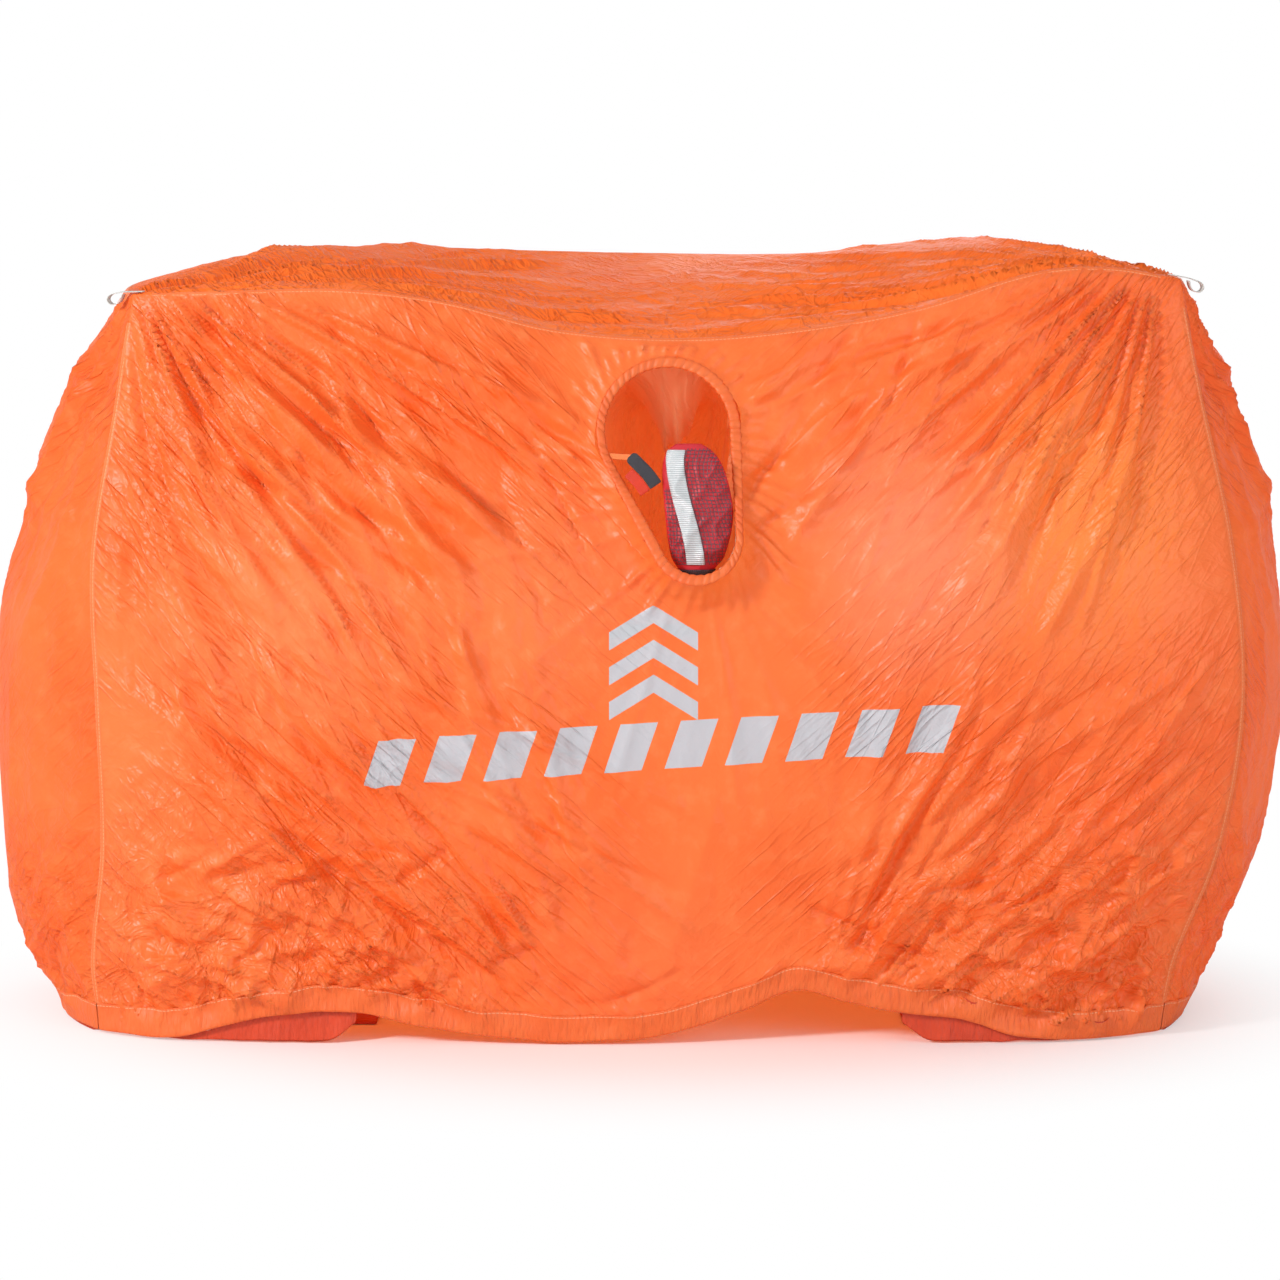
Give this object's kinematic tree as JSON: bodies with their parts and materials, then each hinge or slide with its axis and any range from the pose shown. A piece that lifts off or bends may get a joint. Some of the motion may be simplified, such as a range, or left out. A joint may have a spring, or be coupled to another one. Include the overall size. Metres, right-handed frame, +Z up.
{
  "type": "bothy bag",
  "caption": "Fabric group shelter set up in use: box-shaped coated-nylon bag, open below, with drawcord hem, tunnel vent, floor seats, corner loops and a stuff sack.",
  "frame": {"origin": "on the ground under the middle of the bag", "axes": "+X to the right seen from the front, +Y from the front wall with the vent to the back wall, +Z up"},
  "size_m": [1.4214, 0.6804, 0.8443],
  "materials": {
    "shell_fabric": "thin coated nylon, softly shiny",
    "seam_tape": "matt woven tape",
    "seat_fabric": "coated nylon over thin foam",
    "drawcord": "braided",
    "elastic": "braided cover",
    "lock_plastic": "moulded",
    "spring_steel": "drawn wire",
    "sack_fabric": "coated nylon",
    "sack_mesh": "open knit mesh",
    "reflective_webbing": "ribbed webbing with reflective yarn",
    "label": "folded woven tape",
    "label_band": "folded woven tape",
    "loop_webbing": "flat woven webbing"
  },
  "bodies": {
    "shelter": {"front_panel": "shell_fabric", "back_panel": "shell_fabric", "left_end_panel": "shell_fabric", "right_end_panel": "shell_fabric", "roof_panel": "shell_fabric", "front_left_seam_tape": "seam_tape", "front_right_seam_tape": "seam_tape", "back_left_seam_tape": "seam_tape", "back_right_seam_tape": "seam_tape", "front_roof_seam_tape": "seam_tape", "back_roof_seam_tape": "seam_tape", "left_roof_seam_tape": "seam_tape", "right_roof_seam_tape": "seam_tape", "front_hem": "shell_fabric", "back_hem": "shell_fabric", "left_end_hem": "shell_fabric", "right_end_hem": "shell_fabric", "hem_drawcord": "drawcord", "hem_drawcord_stopper": "lock_plastic", "vent_collar": "shell_fabric", "vent_rim_elastic": "elastic", "vent_tunnel": "shell_fabric", "tunnel_casing": "shell_fabric", "tunnel_drawcord": "drawcord", "tunnel_drawcord_stopper": "lock_plastic", "left_seat_binding": "seat_fabric", "right_seat_binding": "seat_fabric", "left_draught_skirt": "seat_fabric", "right_draught_skirt": "seat_fabric", "front_left_corner_loop": "loop_webbing", "front_right_corner_loop": "loop_webbing", "back_left_corner_loop": "loop_webbing", "back_right_corner_loop": "loop_webbing"},
    "left_seat_pad": {"left_seat": "seat_fabric"},
    "right_seat_pad": {"right_seat": "seat_fabric"},
    "stuff_sack": {"sack_body": "sack_fabric", "sack_mouth_binding": "sack_mesh", "sack_mesh_panel": "sack_mesh", "sack_side_mesh": "sack_mesh", "sack_strap": "reflective_webbing", "sack_label": "label", "sack_label_band": "label_band", "sack_tether": "seam_tape"},
    "hem_cord_lock": {"hem_cord_lock_barrel": "lock_plastic", "hem_cord_lock_spring": "spring_steel"},
    "hem_lock_button": {"hem_cord_lock_plunger": "lock_plastic"},
    "tunnel_cord_lock": {"tunnel_cord_lock_barrel": "lock_plastic", "tunnel_cord_lock_spring": "spring_steel"},
    "tunnel_lock_button": {"tunnel_cord_lock_plunger": "lock_plastic"}
  },
  "joints": [
    {"name": "left_seat_fold", "type": "hinge", "parent": "shelter", "child": "left_seat_pad", "pos_m": [-0.556, 0, 0.0045], "axis": [0, -1, 0], "range_deg": [0, 90]},
    {"name": "right_seat_fold", "type": "hinge", "parent": "shelter", "child": "right_seat_pad", "pos_m": [0.534, 0, 0.0045], "axis": [0, 1, 0], "range_deg": [0, 90]},
    {"name": "sack_swing", "type": "hinge", "parent": "shelter", "child": "stuff_sack", "pos_m": [-0.0327, -0.2845, 0.622], "axis": [-1, 0, 0], "range_deg": [0, 60]},
    {"name": "hem_lock_slide", "type": "slide", "parent": "shelter", "child": "hem_cord_lock", "axis": [0, 1, 0], "range_m": [0, 0.007]},
    {"name": "hem_lock_press", "type": "slide", "parent": "hem_cord_lock", "child": "hem_lock_button", "axis": [0, 0, -1], "range_m": [0, 0.0024], "stiffness_N_per_m": 400, "springref_m": -0.002, "deforming": ["hem_cord_lock_spring"]},
    {"name": "tunnel_lock_slide", "type": "slide", "parent": "shelter", "child": "tunnel_cord_lock", "axis": [0, 1, 0], "range_m": [0, 0.007]},
    {"name": "tunnel_lock_press", "type": "slide", "parent": "tunnel_cord_lock", "child": "tunnel_lock_button", "axis": [0, 0, -1], "range_m": [0, 0.0024], "stiffness_N_per_m": 400, "springref_m": -0.002, "deforming": ["tunnel_cord_lock_spring"]}
  ]
}
